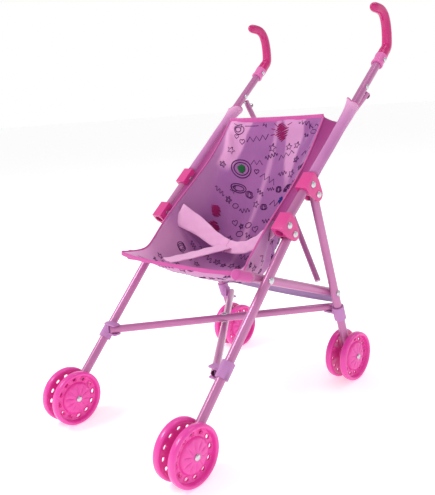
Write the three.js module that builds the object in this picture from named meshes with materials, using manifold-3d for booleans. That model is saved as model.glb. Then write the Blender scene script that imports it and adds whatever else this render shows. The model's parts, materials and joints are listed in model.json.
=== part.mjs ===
// Doll stroller: an umbrella-fold frame of pink steel tubes with twin plastic wheels, hooked
// grips and a hammock seat of printed fabric.
//
// Frame: millimetres, +Z up, origin on the floor under the middle of the whole object.
// The stroller faces -Y, and its own left side is +X. All side-view points below are
// [y, z] pairs with the front axle straight above y = 0; the whole model is shifted along Y
// at the end so that the origin sits under the middle.
//
// Requires the npm packages three and manifold-3d.

import * as THREE from "three";
import { mergeVertices } from "three/addons/utils/BufferGeometryUtils.js";
import Module from "manifold-3d";

const wasm = await Module();
wasm.setup();

// ---------------------------------------------------------------- driving dimensions
const GAP = 0.3;                  // clearance between pieces that touch
const SIDE_X = 118;               // plane of the side frame's tubes, from the middle
const WHEELBASE = 350;            // front axle to rear axle
const TUBE_D = 12.5;              // handle tubes, legs and rails
const TUBE_WALL = 1.0;
const BAR_D = 11;                 // crossed lower bars
const BRACE_D = 9;                // crossed back braces
const PIN_D = 3.6;                // shank of every rivet
const RIVET_HEAD_D = 9.5;
const RIVET_HEAD_H = 2.6;
const RIVET_TAIL_D = 7;
const RIVET_TAIL_H = 1.1;

const WHEEL_D = 76;
const WHEEL_HALF_W = 18;          // middle of a twin wheel to either outer face
const WHEEL_GAP = 15;             // between the two discs, where the leg's end runs
const AXLE_D = 5;
const HUB_D = 19;
const DISC_HOLES = 12;
const DISC_HOLE_R = 26.5;         // ring on which the oval holes lie
const DISC_HOLE_LONG = 7.6;
const DISC_HOLE_SHORT = 4.6;

const LOWER_JOINT = [200, 270];   // handle tube's rivet in the lower bracket
const HANDLE_ANGLE = 40;          // handle tube above the floor's plane, degrees
const HANDLE_LENGTH = 326;        // from the lower bracket's rivet to the grip socket
const LEG_JOINT_DROP = 17.7;      // front leg's rivet, square to the handle tube
const UPPER_BRACKET_AT = 72;      // upper bracket's rivet, along the handle tube
const REAR_JOINT_DROP = 20;       // rear leg's rivet, square to the handle tube
const TUBE_END = 8;               // tube past its rivet
const BRACKET_HALF_LENGTH = 14;
const BRACKET_WALL = 2.6;

const RAIL_FRONT = [115, 222];    // seat rail's front end
const RAIL_REAR_Z = 147;          // height of the rail's rivet on the rear leg
const RAIL_INSET = TUBE_D + 0.6;  // rail's plane, inside the legs' plane

const BAR_Z = 113;                // height between the two crossed bars
const BAR_STEP = BAR_D + 0.8;     // the bars pass one above the other
const BAR_INSET = 17;             // bar pivots, inside the legs' plane
const CLIP_HEIGHT = 22;
const CLIP_WALL = 2.4;

const BRACE_AT = 256;             // brace's top rivet, along the handle tube
const BRACE_FOOT = [322, 158];    // lower end of the front brace
const BRACE_STAND_OFF = 4;        // between the handle tube and the front brace
const BRACE_FOOT_INSET = 40;      // brace's foot, inside the legs' plane
const BRACE_STEP = BRACE_D + 1.2; // the braces pass one in front of the other

const FABRIC = 1.2;               // thickness of a fabric sheet
const SEAT_HALF_W = 94;           // half the seat's clear width
const SEAT_TOP_AT = 207;          // top hem, along the handle tube
const SLEEVE_AT = [88, 240];      // fabric sleeve's two ends, along the handle tube
const SLEEVE_WALL = 1.2;

// Facets round a full turn.
const TUBE_SIDES = 12;
const PIN_SIDES = 8;
const WHEEL_SIDES = 26;

const SIDES = [["left", 1], ["right", -1]];
const HOLE_D = PIN_D + 2 * GAP;   // hole for a rivet's shank

// ---------------------------------------------------------------- colours
const looks = {
  tube: new THREE.MeshStandardMaterial({ color: 0xd98fc9, roughness: 0.35, metalness: 0.25 }),
  bracket: new THREE.MeshStandardMaterial({ color: 0xf0409a, roughness: 0.35 }),
  grip: new THREE.MeshStandardMaterial({ color: 0xd8187a, roughness: 0.25 }),
  socket: new THREE.MeshStandardMaterial({ color: 0xf078c0, roughness: 0.35 }),
  wheel: new THREE.MeshStandardMaterial({ color: 0xf050b0, roughness: 0.3 }),
  clip: new THREE.MeshStandardMaterial({ color: 0xd8c4e4, roughness: 0.4 }),
  rivet: new THREE.MeshStandardMaterial({ color: 0xc8c8cc, roughness: 0.25, metalness: 1 }),
  fabric: new THREE.MeshStandardMaterial({ color: 0xb87fc4, roughness: 0.8 }),
  strap: new THREE.MeshStandardMaterial({ color: 0xc790cc, roughness: 0.8 }),
};

// ---------------------------------------------------------------- solids
function toSolid(geometry) {
  const bare = geometry.index ? geometry : geometry.clone();
  bare.deleteAttribute("normal");
  bare.deleteAttribute("uv");
  const merged = mergeVertices(bare, 1e-4);
  return new wasm.Manifold(new wasm.Mesh({
    numProp: 3,
    vertProperties: new Float32Array(merged.attributes.position.array),
    triVerts: new Uint32Array(merged.index.array),
  }));
}

function toGeometry(solid) {
  const mesh = solid.getMesh();
  const geometry = new THREE.BufferGeometry();
  geometry.setAttribute("position", new THREE.BufferAttribute(mesh.vertProperties, 3));
  geometry.setIndex(new THREE.BufferAttribute(mesh.triVerts, 1));
  geometry.computeVertexNormals();
  return geometry;
}

// A cylinder from point a to point b.
function rod(a, b, diameter, sides = TUBE_SIDES) {
  const from = new THREE.Vector3(...a);
  const to = new THREE.Vector3(...b);
  const shape = new THREE.CylinderGeometry(diameter / 2, diameter / 2, from.distanceTo(to), sides);
  const turn = new THREE.Quaternion().setFromUnitVectors(
    new THREE.Vector3(0, 1, 0), to.clone().sub(from).normalize());
  shape.applyQuaternion(turn);
  shape.translate(...from.add(to).multiplyScalar(0.5).toArray());
  return toSolid(shape);
}

// A hollow tube from a to b, open at both ends.
function tube(a, b, diameter, sides = TUBE_SIDES) {
  const from = new THREE.Vector3(...a);
  const to = new THREE.Vector3(...b);
  const length = from.distanceTo(to);
  const inner = diameter / 2 - TUBE_WALL;
  const outer = diameter / 2;
  const shape = new THREE.LatheGeometry([
    new THREE.Vector2(inner, 0), new THREE.Vector2(outer, 0),
    new THREE.Vector2(outer, length), new THREE.Vector2(inner, length),
    new THREE.Vector2(inner, 0)], sides);
  const turn = new THREE.Quaternion().setFromUnitVectors(
    new THREE.Vector3(0, 1, 0), to.clone().sub(from).normalize());
  shape.applyQuaternion(turn);
  shape.translate(...a);
  return toSolid(shape);
}

// An outline of [y, z] points, made solid between two X planes.
function plate(outline, xLow, xHigh) {
  const shape = new THREE.Shape(outline.map(([y, z]) => new THREE.Vector2(y, z)));
  const geometry = new THREE.ExtrudeGeometry(shape, { depth: xHigh - xLow, bevelEnabled: false });
  const toSide = new THREE.Matrix4().set(
    0, 0, 1, xLow,
    1, 0, 0, 0,
    0, 1, 0, 0,
    0, 0, 0, 1);
  geometry.applyMatrix4(toSide);
  return toSolid(geometry);
}

function block(center, size) {
  const geometry = new THREE.BoxGeometry(...size);
  geometry.translate(...center);
  return toSolid(geometry);
}

// A rivet along a direction: dome head at the start, shank, small flat tail. A spacer is a
// collar round the shank from one distance to another, along it.
function rivet(headSeat, direction, grip, spacer = null) {
  const headR = RIVET_HEAD_D / 2;
  const collar = spacer ? [[PIN_D / 2, spacer[0]], [RIVET_TAIL_D / 2, spacer[0]],
    [RIVET_TAIL_D / 2, spacer[1]], [PIN_D / 2, spacer[1]]] : [];
  const points = [[0, -RIVET_HEAD_H], [headR * 0.7, -RIVET_HEAD_H * 0.72], [headR, 0], [PIN_D / 2, 0],
    ...collar, [PIN_D / 2, grip], [RIVET_TAIL_D / 2, grip],
    [RIVET_TAIL_D / 2, grip + RIVET_TAIL_H], [0, grip + RIVET_TAIL_H]];
  const shape = new THREE.LatheGeometry(points.map(([r, h]) => new THREE.Vector2(r, h)), PIN_SIDES);
  shape.applyQuaternion(new THREE.Quaternion().setFromUnitVectors(
    new THREE.Vector3(0, 1, 0), new THREE.Vector3(...direction).normalize()));
  shape.translate(...headSeat);
  return toSolid(shape);
}

const model = new THREE.Group();
function add(name, solid, look) {
  const mesh = new THREE.Mesh(toGeometry(solid), looks[look]);
  mesh.name = name;
  model.add(mesh);
}

// ---------------------------------------------------------------- side-view layout
const rad = THREE.MathUtils.degToRad;
const turned = ([y, z], angle) => [y * Math.cos(angle) - z * Math.sin(angle),
  y * Math.sin(angle) + z * Math.cos(angle)];
const handleDir = [Math.cos(rad(HANDLE_ANGLE)), Math.sin(rad(HANDLE_ANGLE))];
const handleDown = [handleDir[1], -handleDir[0]];   // square to the tube, back and down
const along = (from, dir, distance) => [from[0] + dir[0] * distance, from[1] + dir[1] * distance];
const unit = (from, to) => {
  const length = Math.hypot(to[0] - from[0], to[1] - from[1]);
  return [(to[0] - from[0]) / length, (to[1] - from[1]) / length];
};
const atHeight = (from, to, z) => from[0] + (to[0] - from[0]) * (z - from[1]) / (to[1] - from[1]);

const onHandle = (distance) => along(LOWER_JOINT, handleDir, distance);
const frontAxle = [0, WHEEL_D / 2];
const rearAxle = [WHEELBASE, WHEEL_D / 2];
const legJoint = along(LOWER_JOINT, handleDown, LEG_JOINT_DROP);
const upperRivet = onHandle(UPPER_BRACKET_AT);
const rearJoint = along(upperRivet, handleDown, REAR_JOINT_DROP);
const frontLegDir = unit(frontAxle, legJoint);
const rearLegDir = unit(rearAxle, rearJoint);
const railRear = [atHeight(rearAxle, rearJoint, RAIL_REAR_Z), RAIL_REAR_Z];
const railDir = unit(railRear, RAIL_FRONT);

// Where the rail's line crosses the front leg's line.
const railFrontRivet = (() => {
  const cross = railDir[0] * frontLegDir[1] - railDir[1] * frontLegDir[0];
  const offset = [frontAxle[0] - railRear[0], frontAxle[1] - railRear[1]];
  return along(railRear, railDir, (offset[0] * frontLegDir[1] - offset[1] * frontLegDir[0]) / cross);
})();

// The braces' line touches the back of the handle tubes. It is the tangent from the foot to
// a circle round the top rivet's place on the tube.
const braceRivet = onHandle(BRACE_AT);
const braceOffset = TUBE_D / 2 + BRACE_D / 2 + BRACE_STAND_OFF;
const footToRivet = Math.hypot(braceRivet[0] - BRACE_FOOT[0], braceRivet[1] - BRACE_FOOT[1]);
const braceDir = turned(unit(BRACE_FOOT, braceRivet), -Math.asin(braceOffset / footToRivet));
const braceBack = [braceDir[1], -braceDir[0]];      // square to the braces, back and down
const braceTop = along(BRACE_FOOT, braceDir, Math.sqrt(footToRivet ** 2 - braceOffset ** 2));

const at = (x, [y, z]) => [x, y, z];

// ---------------------------------------------------------------- tubes of the side frames
for (const [side, s] of SIDES) {
  const x = s * SIDE_X;
  const railX = s * (SIDE_X - RAIL_INSET);
  const across = (point, diameter = HOLE_D, reach = 2 * TUBE_D) =>
    rod(at(x - reach, point), at(x + reach, point), diameter, PIN_SIDES);

  const braceHole = rod(at(x, braceRivet), at(x, along(braceRivet, braceBack, 2 * TUBE_D)), HOLE_D, PIN_SIDES);
  const handle = tube(at(x, onHandle(-TUBE_END)), at(x, onHandle(HANDLE_LENGTH)), TUBE_D)
    .subtract(across(LOWER_JOINT)).subtract(across(upperRivet)).subtract(braceHole);
  add(`handle_tube_${side}`, handle, "tube");

  const frontLeg = tube(at(x, along(frontAxle, frontLegDir, -TUBE_END)),
    at(x, along(legJoint, frontLegDir, TUBE_END)), TUBE_D)
    .subtract(across(frontAxle, AXLE_D + 2 * GAP)).subtract(across(legJoint))
    .subtract(across(railFrontRivet));
  add(`front_leg_${side}`, frontLeg, "tube");

  const rearLeg = tube(at(x, along(rearAxle, rearLegDir, -TUBE_END)),
    at(x, along(rearJoint, rearLegDir, TUBE_END * 0.75)), TUBE_D)
    .subtract(across(rearAxle, AXLE_D + 2 * GAP)).subtract(across(rearJoint))
    .subtract(across(railRear));
  add(`rear_leg_${side}`, rearLeg, "tube");

  const rail = tube(at(railX, along(railRear, railDir, -TUBE_END)), at(railX, RAIL_FRONT), TUBE_D)
    .subtract(across(railRear)).subtract(across(railFrontRivet));
  add(`seat_rail_${side}`, rail, "tube");
}

// ---------------------------------------------------------------- brackets and their rivets
// A bracket is a sleeve round the handle tube with two cheeks that hold a leg's top end.
const CHEEK_X = TUBE_D / 2 + GAP + BRACKET_WALL;
const CHEEK_R = 9.6;              // round end of the cheeks, about the leg's rivet
const SHOULDER = 5.5;             // cheek's square corner, below the tube's middle
const SLEEVE_BACK = 1.2;          // sleeve left between the tube and the leg's slot
const ROUND_STEPS = 8;

function bracket(x, onTube, pivot) {
  // A place by its distance along the handle tube and square to it, downwards.
  const place = (forward, down) => along(along(onTube, handleDir, forward), handleDown, down);
  const outline = [place(-BRACKET_HALF_LENGTH, -CHEEK_X), place(BRACKET_HALF_LENGTH, -CHEEK_X),
    place(BRACKET_HALF_LENGTH, SHOULDER)];
  const firstAngle = rad(HANDLE_ANGLE - 20);
  const sweep = rad(150);
  for (let i = 0; i <= ROUND_STEPS; i++) {
    const angle = firstAngle - sweep * i / ROUND_STEPS;
    outline.push(along(pivot, [Math.cos(angle), Math.sin(angle)], CHEEK_R));
  }
  outline.push(place(-BRACKET_HALF_LENGTH, SHOULDER));
  const body = plate(outline.reverse(), x - CHEEK_X, x + CHEEK_X);
  const reach = 3 * BRACKET_HALF_LENGTH;
  const bore = rod(at(x, place(-reach, 0)), at(x, place(reach, 0)), TUBE_D + 2 * GAP);
  const slotTop = TUBE_D / 2 + GAP + SLEEVE_BACK;
  const slot = plate([place(-reach, slotTop), place(-reach, reach), place(reach, reach), place(reach, slotTop)],
    x - TUBE_D / 2 - GAP, x + TUBE_D / 2 + GAP);
  const hole = (point) => rod(at(x - reach, point), at(x + reach, point), HOLE_D, PIN_SIDES);
  return body.subtract(bore).subtract(slot).subtract(hole(onTube)).subtract(hole(pivot));
}

for (const [side, s] of SIDES) {
  const x = s * SIDE_X;
  add(`lower_bracket_${side}`, bracket(x, LOWER_JOINT, legJoint), "bracket");
  add(`upper_bracket_${side}`, bracket(x, upperRivet, rearJoint), "bracket");

  const headX = x + s * (CHEEK_X + GAP);
  const grip = 2 * (CHEEK_X + GAP);
  const spots = [["lower_bracket_rivet_front", LOWER_JOINT], ["lower_bracket_rivet_leg", legJoint],
    ["upper_bracket_rivet_tube", upperRivet], ["upper_bracket_rivet_leg", rearJoint]];
  for (const [name, point] of spots) {
    add(`${name}_${side}`, rivet(at(headX, point), [-s, 0, 0], grip), "rivet");
  }

  const railHeadX = x + s * (TUBE_D / 2 + GAP);
  const railGrip = TUBE_D + RAIL_INSET + 2 * GAP;
  add(`rail_rivet_front_${side}`, rivet(at(railHeadX, railFrontRivet), [-s, 0, 0], railGrip), "rivet");
  add(`rail_rivet_rear_${side}`, rivet(at(railHeadX, railRear), [-s, 0, 0], railGrip), "rivet");
}

// ---------------------------------------------------------------- handle sockets and grips
const SOCKET_LENGTH = 19;
const SOCKET_COVER = 9;           // how far the socket reaches down over the tube
const SOCKET_D = 19;
const GRIP_ROOT_D = 20;
const GRIP_TIP_D = 15;
const GRIP_FLAT = 0.88;           // grip's width as a share of its depth
const GRIP_TIP_ROUND = 0.1;       // rounded share of the grip's length, at its tip
const GRIP_RINGS = 12;
// The grip's middle line, from its root: forward along Y, and up.
const GRIP_LINE = [[0, 0], [7, 6], [17, 18.5], [14, 49.5], [1, 66.5], [-29, 71.5]];

function grip(x) {
  const root = onHandle(HANDLE_LENGTH + SOCKET_LENGTH - SOCKET_COVER + GAP);
  const path = new THREE.CatmullRomCurve3(GRIP_LINE.map(
    ([y, z]) => new THREE.Vector3(x, root[0] + y, root[1] + z)), false, "centripetal");
  const across = new THREE.Vector3(1, 0, 0);
  const positions = [];
  const index = [];
  for (let i = 0; i <= GRIP_RINGS; i++) {
    const u = i / GRIP_RINGS;
    const centre = path.getPointAt(u);
    const normal = path.getTangentAt(u).cross(across).normalize();
    const nearTip = Math.max(0, (u - 1 + GRIP_TIP_ROUND) / GRIP_TIP_ROUND);
    const radius = THREE.MathUtils.lerp(GRIP_ROOT_D, GRIP_TIP_D, u) / 2 * (1 - 0.45 * nearTip ** 2);
    for (let j = 0; j < TUBE_SIDES; j++) {
      const turn = 2 * Math.PI * j / TUBE_SIDES;
      const p = centre.clone().addScaledVector(across, Math.cos(turn) * radius * GRIP_FLAT)
        .addScaledVector(normal, Math.sin(turn) * radius);
      positions.push(p.x, p.y, p.z);
    }
  }
  const rootCentre = positions.length / 3;
  const tipCentre = rootCentre + 1;
  positions.push(...path.getPointAt(0).toArray(), ...path.getPointAt(1).toArray());
  for (let j = 0; j < TUBE_SIDES; j++) {
    const next = (j + 1) % TUBE_SIDES;
    for (let i = 0; i < GRIP_RINGS; i++) {
      const low = i * TUBE_SIDES;
      const high = low + TUBE_SIDES;
      index.push(low + j, low + next, high + next, low + j, high + next, high + j);
    }
    index.push(rootCentre, next, j);
    index.push(tipCentre, GRIP_RINGS * TUBE_SIDES + j, GRIP_RINGS * TUBE_SIDES + next);
  }
  const geometry = new THREE.BufferGeometry();
  geometry.setAttribute("position", new THREE.Float32BufferAttribute(positions, 3));
  geometry.setIndex(index);
  return toSolid(geometry);
}

for (const [side, s] of SIDES) {
  const x = s * SIDE_X;
  const socketStart = HANDLE_LENGTH - SOCKET_COVER;
  const socket = rod(at(x, onHandle(socketStart)), at(x, onHandle(socketStart + SOCKET_LENGTH)), SOCKET_D)
    .subtract(rod(at(x, onHandle(socketStart - 1)), at(x, onHandle(HANDLE_LENGTH + GAP)), TUBE_D + 2 * GAP));
  add(`handle_socket_${side}`, socket, "socket");
  add(`handle_grip_${side}`, grip(x), "grip");
}

// ---------------------------------------------------------------- crossed lower bars
const frontPivotY = atHeight(frontAxle, legJoint, BAR_Z);
const rearPivotY = atHeight(rearAxle, rearJoint, BAR_Z);
const pivotX = SIDE_X - BAR_INSET;
const barMid = [0, (frontPivotY + rearPivotY) / 2];
const BAR_END = 6;                // bar past its end pivot

// s is the side of the bar's front end; level is its own height.
function lowerBar(s, level) {
  const front = new THREE.Vector3(s * pivotX, frontPivotY, level);
  const rear = new THREE.Vector3(-s * pivotX, rearPivotY, level);
  const reach = rear.clone().sub(front).normalize().multiplyScalar(BAR_END);
  let body = tube(front.clone().sub(reach).toArray(), rear.clone().add(reach).toArray(), BAR_D);
  for (const [px, py] of [[front.x, front.y], barMid, [rear.x, rear.y]]) {
    body = body.subtract(rod([px, py, level - BAR_D], [px, py, level + BAR_D], HOLE_D, PIN_SIDES));
  }
  return body;
}
const barLow = BAR_Z - BAR_STEP / 2;
const barHigh = BAR_Z + BAR_STEP / 2;
add("lower_bar_low", lowerBar(1, barLow), "tube");
add("lower_bar_high", lowerBar(-1, barHigh), "tube");
add("lower_bar_rivet", rivet([...barMid, barHigh + BAR_D / 2 + GAP], [0, 0, -1],
  BAR_D + BAR_STEP + 2 * GAP), "rivet");

// A front clip is a sleeve on the leg with a fork and an upright pin for the bar's end.
// A rear clip is a sleeve with a shelf under the bar's end.
const FORK_W = 11;
const FORK_LENGTH = BAR_INSET + 6;
const FORK_HALF = BAR_D / 2 + GAP + CLIP_WALL;

function clip(s, axle, joint, level, pivotY, forked) {
  const x = s * SIDE_X;
  const dir = unit(axle, joint);
  const mid = [atHeight(axle, joint, BAR_Z), BAR_Z];
  const onLeg = (distance) => at(x, along(mid, dir, distance));
  const bore = rod(onLeg(-CLIP_HEIGHT), onLeg(CLIP_HEIGHT), TUBE_D + 2 * GAP);
  const upright = (diameter) =>
    rod([s * pivotX, pivotY, level - FORK_HALF], [s * pivotX, pivotY, level + FORK_HALF], diameter, PIN_SIDES);
  let body = rod(onLeg(-CLIP_HEIGHT / 2), onLeg(CLIP_HEIGHT / 2), TUBE_D + 2 * GAP + 2 * CLIP_WALL);
  for (const way of forked ? [1, -1] : [-1]) {
    body = body.add(block([x - s * FORK_LENGTH / 2, pivotY, level + way * (FORK_HALF - CLIP_WALL / 2)],
      [FORK_LENGTH, FORK_W, CLIP_WALL]));
  }
  const webX = TUBE_D / 2 + GAP + CLIP_WALL / 2;
  body = body.add(block([x - s * webX, pivotY, level], [CLIP_WALL, FORK_W, 2 * FORK_HALF])).subtract(bore);
  return forked ? body.add(upright(PIN_D)) : body;
}
for (const [side, s] of SIDES) {
  const frontLevel = s > 0 ? barLow : barHigh;
  const rearLevel = s > 0 ? barHigh : barLow;
  add(`front_clip_${side}`, clip(s, frontAxle, legJoint, frontLevel, frontPivotY, true), "clip");
  add(`rear_clip_${side}`, clip(s, rearAxle, rearJoint, rearLevel, rearPivotY, false), "clip");
}

// ---------------------------------------------------------------- crossed back braces
// The braces lie in two planes parallel to X, one behind the other.
const braceFootX = SIDE_X - BRACE_FOOT_INSET;
const braceLength = Math.hypot(braceTop[0] - BRACE_FOOT[0], braceTop[1] - BRACE_FOOT[1]);
const braceCrossing = along(braceTop, braceDir, -braceLength * SIDE_X / (SIDE_X + braceFootX));
const BRACE_END = 5;              // brace past its top rivet
const CROSSING_HOLE_D = 5;        // loose in the front brace, as the two braces turn

function backBrace(s, behind) {
  const top = new THREE.Vector3(...at(s * SIDE_X, along(braceTop, braceBack, behind)));
  const foot = new THREE.Vector3(...at(-s * braceFootX, along(BRACE_FOOT, braceBack, behind)));
  const end = top.clone().add(top.clone().sub(foot).setLength(BRACE_END));
  let body = tube(foot.toArray(), end.toArray(), BRACE_D);
  const crossingHole = behind ? HOLE_D : CROSSING_HOLE_D;
  for (const [px, centre, hole] of [[s * SIDE_X, braceTop, HOLE_D], [0, braceCrossing, crossingHole]]) {
    body = body.subtract(rod(at(px, along(centre, braceBack, behind - BRACE_D)),
      at(px, along(centre, braceBack, behind + BRACE_D)), hole, PIN_SIDES));
  }
  return body;
}
add("back_brace_front", backBrace(1, 0), "tube");
add("back_brace_rear", backBrace(-1, BRACE_STEP), "tube");
const towardsBack = at(0, braceBack);
add("back_brace_rivet", rivet(at(0, along(braceCrossing, braceBack, -BRACE_D / 2 - GAP)), towardsBack,
  BRACE_D + BRACE_STEP + 2 * GAP), "rivet");

// A blind rivet holds each brace's top end: its head is behind the brace, and its tail is
// inside the handle tube, which it meets at a slant. The rear brace's has a spacer as well.
const slant = Math.acos(handleDir[0] * braceBack[0] + handleDir[1] * braceBack[1]);
const clearOfTube = TUBE_D / 2 / Math.sin(slant) + RIVET_TAIL_D / 2 / Math.tan(slant) + GAP;
for (const [side, s, behind] of [["left", 1, 0], ["right", -1, BRACE_STEP]]) {
  const headAt = braceOffset + behind + BRACE_D / 2 + GAP;
  const spacer = behind ? [BRACE_D + 2 * GAP, headAt - clearOfTube] : null;
  add(`brace_top_rivet_${side}`, rivet(at(s * SIDE_X, along(braceRivet, braceBack, headAt)),
    at(0, braceBack.map((v) => -v)), headAt - RIVET_TAIL_H / 2, spacer), "rivet");
}

// ---------------------------------------------------------------- wheels
// Disc profile, from the inner face at height 0 to the dished outer face.
const DISC_W = WHEEL_HALF_W - WHEEL_GAP / 2;
const RIM_ROUND = 1.6;
const RIM_W = 5;
const DISH = 4.2;                 // how deep the outer face is dished
function disc() {
  const rim = WHEEL_D / 2;
  const bore = AXLE_D / 2 + GAP;
  const points = [[bore, 0], [rim - RIM_ROUND, 0], [rim, RIM_ROUND], [rim, DISC_W - RIM_ROUND],
    [rim - RIM_ROUND, DISC_W], [rim - RIM_W, DISC_W - DISH / 2], [HUB_D / 2 + DISH, DISC_W - DISH],
    [HUB_D / 2, DISC_W], [bore, DISC_W], [bore, 0]];
  let body = toSolid(new THREE.LatheGeometry(points.map(([r, h]) => new THREE.Vector2(r, h)), WHEEL_SIDES));
  const oval = new THREE.CylinderGeometry(DISC_HOLE_SHORT / 2, DISC_HOLE_SHORT / 2, 4 * DISC_W, 6);
  oval.scale(1, 1, DISC_HOLE_LONG / DISC_HOLE_SHORT);
  oval.translate(DISC_HOLE_R, 0, 0);
  for (let i = 0; i < DISC_HOLES; i++) {
    const hole = oval.clone().rotateY(2 * Math.PI * i / DISC_HOLES);
    body = body.subtract(toSolid(hole));
  }
  return body;
}

function placed(solid, rotation, position) {
  const geometry = toGeometry(solid);
  geometry.deleteAttribute("normal");
  geometry.applyMatrix4(rotation);
  geometry.translate(...position);
  return toSolid(geometry);
}

const wheelDisc = disc();
const CAP_H = 1.6;
for (const [end, axle] of [["front", frontAxle], ["rear", rearAxle]]) {
  for (const [side, s] of SIDES) {
    for (const [which, t] of [["outer", s], ["inner", -s]]) {
      const turn = new THREE.Matrix4().makeRotationZ(-t * Math.PI / 2);
      const face = at(s * SIDE_X + t * WHEEL_GAP / 2, axle);
      add(`wheel_${end}_${side}_${which}`, placed(wheelDisc, turn, face), "wheel");
    }
    const half = WHEEL_HALF_W + GAP;
    const capR = HUB_D / 2 - 2.5;
    const axleSteps = [[0, -half - CAP_H], [capR * 0.7, -half - CAP_H], [capR, -half], [AXLE_D / 2, -half],
      [AXLE_D / 2, half], [capR, half], [capR * 0.7, half + CAP_H], [0, half + CAP_H]];
    const pin = new THREE.LatheGeometry(axleSteps.map(([r, h]) => new THREE.Vector2(r, h)), TUBE_SIDES);
    pin.rotateZ(-Math.PI / 2);
    pin.translate(...at(s * SIDE_X, axle));
    add(`axle_${end}_${side}`, toSolid(pin), "rivet");
  }
}

// ---------------------------------------------------------------- soft goods
// Side view of the seat's middle: top hem, down the back, the crease, and the pan's front hem.
const hem = along(onHandle(SEAT_TOP_AT), handleDown, 2);
const backLine = [hem, [328, 340], [297, 270], [268, 212], [246, 187]];
const panLine = [[243, 183], [222, 177], [190, 183], [150, 199], [119, 214], [108, 227]];

// A sheet that follows a side-view line, as thick as the fabric.
function sheet(line, halfWidth) {
  const offset = line.map((point, i) => {
    const before = line[Math.max(0, i - 1)];
    const after = line[Math.min(line.length - 1, i + 1)];
    const dir = unit(before, after);
    return along(point, [dir[1], -dir[0]], FABRIC);
  });
  return plate([...line, ...offset.reverse()], -halfWidth, halfWidth);
}

const back = sheet(backLine, SEAT_HALF_W - 2);
add("seat_back", back, "fabric");
add("seat_pan", sheet(panLine, SEAT_HALF_W - 2), "fabric");

for (const [side, s] of SIDES) {
  const x = s * SIDE_X;
  const outerD = TUBE_D + 2 * GAP + 2 * SLEEVE_WALL;
  const [low, high] = SLEEVE_AT;
  const sleeve = rod(at(x, onHandle(low)), at(x, onHandle(high)), outerD)
    .subtract(rod(at(x, onHandle(low - 1)), at(x, onHandle(high + 1)), TUBE_D + 2 * GAP));
  add(`tube_sleeve_${side}`, sleeve, "fabric");

  const wingX = s * (SEAT_HALF_W - 0.5);
  const wing = [along(onHandle(SEAT_TOP_AT), handleDown, 6), along(onHandle(0), handleDown, 2), [188, 262],
    [114, 224], [119, 218], [150, 203], [190, 187], [222, 181], [246, 190], [268, 215], [297, 273], [328, 343]];
  add(`seat_wing_${side}`, plate(wing, wingX - FABRIC / 2, wingX + FABRIC / 2), "fabric");
}

// Restraint: a belt across the lap and a crotch strap from its middle to the front hem.
const STRAP_W = 17;
const beltMid = [212, 229];
const beltEnd = [206, 262];
const beltShape = new THREE.Shape([
  [-(SEAT_HALF_W - 4), beltEnd[1]], [0, beltMid[1]], [SEAT_HALF_W - 4, beltEnd[1]],
  [SEAT_HALF_W - 4, beltEnd[1] - STRAP_W], [0, beltMid[1] - STRAP_W], [-(SEAT_HALF_W - 4), beltEnd[1] - STRAP_W],
].map(([px, pz]) => new THREE.Vector2(px, pz)));
const beltGeometry = new THREE.ExtrudeGeometry(beltShape, { depth: 2 * FABRIC, bevelEnabled: false });
beltGeometry.applyMatrix4(new THREE.Matrix4().set(
  1, 0, 0, 0,
  0, 0, -1, beltMid[0] + FABRIC,
  0, 1, 0, 0,
  0, 0, 0, 1));
const crotch = plate([[beltMid[0], beltMid[1] - 6], [beltMid[0], beltMid[1] - 6 - 2 * FABRIC],
  [116, 221], [116, 221 + 2 * FABRIC]].reverse(), -STRAP_W / 2, STRAP_W / 2);
add("restraint_strap", toSolid(beltGeometry).add(crotch), "strap");

const strapY = atHeight(rearAxle, rearJoint, BAR_Z + 25) + 11;
const strapZ = [BAR_Z + 16, BAR_Z + 33];
add("rear_strap", block([0, strapY, (strapZ[0] + strapZ[1]) / 2],
  [2 * (SIDE_X - TUBE_D / 2 - 9), 2 * FABRIC, strapZ[1] - strapZ[0]]), "strap");

// ---------------------------------------------------------------- origin under the middle
const box = new THREE.Box3().setFromObject(model);
for (const mesh of model.children) mesh.geometry.translate(0, -(box.min.y + box.max.y) / 2, -box.min.z);

export default model;
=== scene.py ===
"""Doll stroller: the looks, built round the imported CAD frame."""
import json
import math
import random
import bmesh
import bpy
import numpy as np
from mathutils import Matrix, Vector, noise


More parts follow.
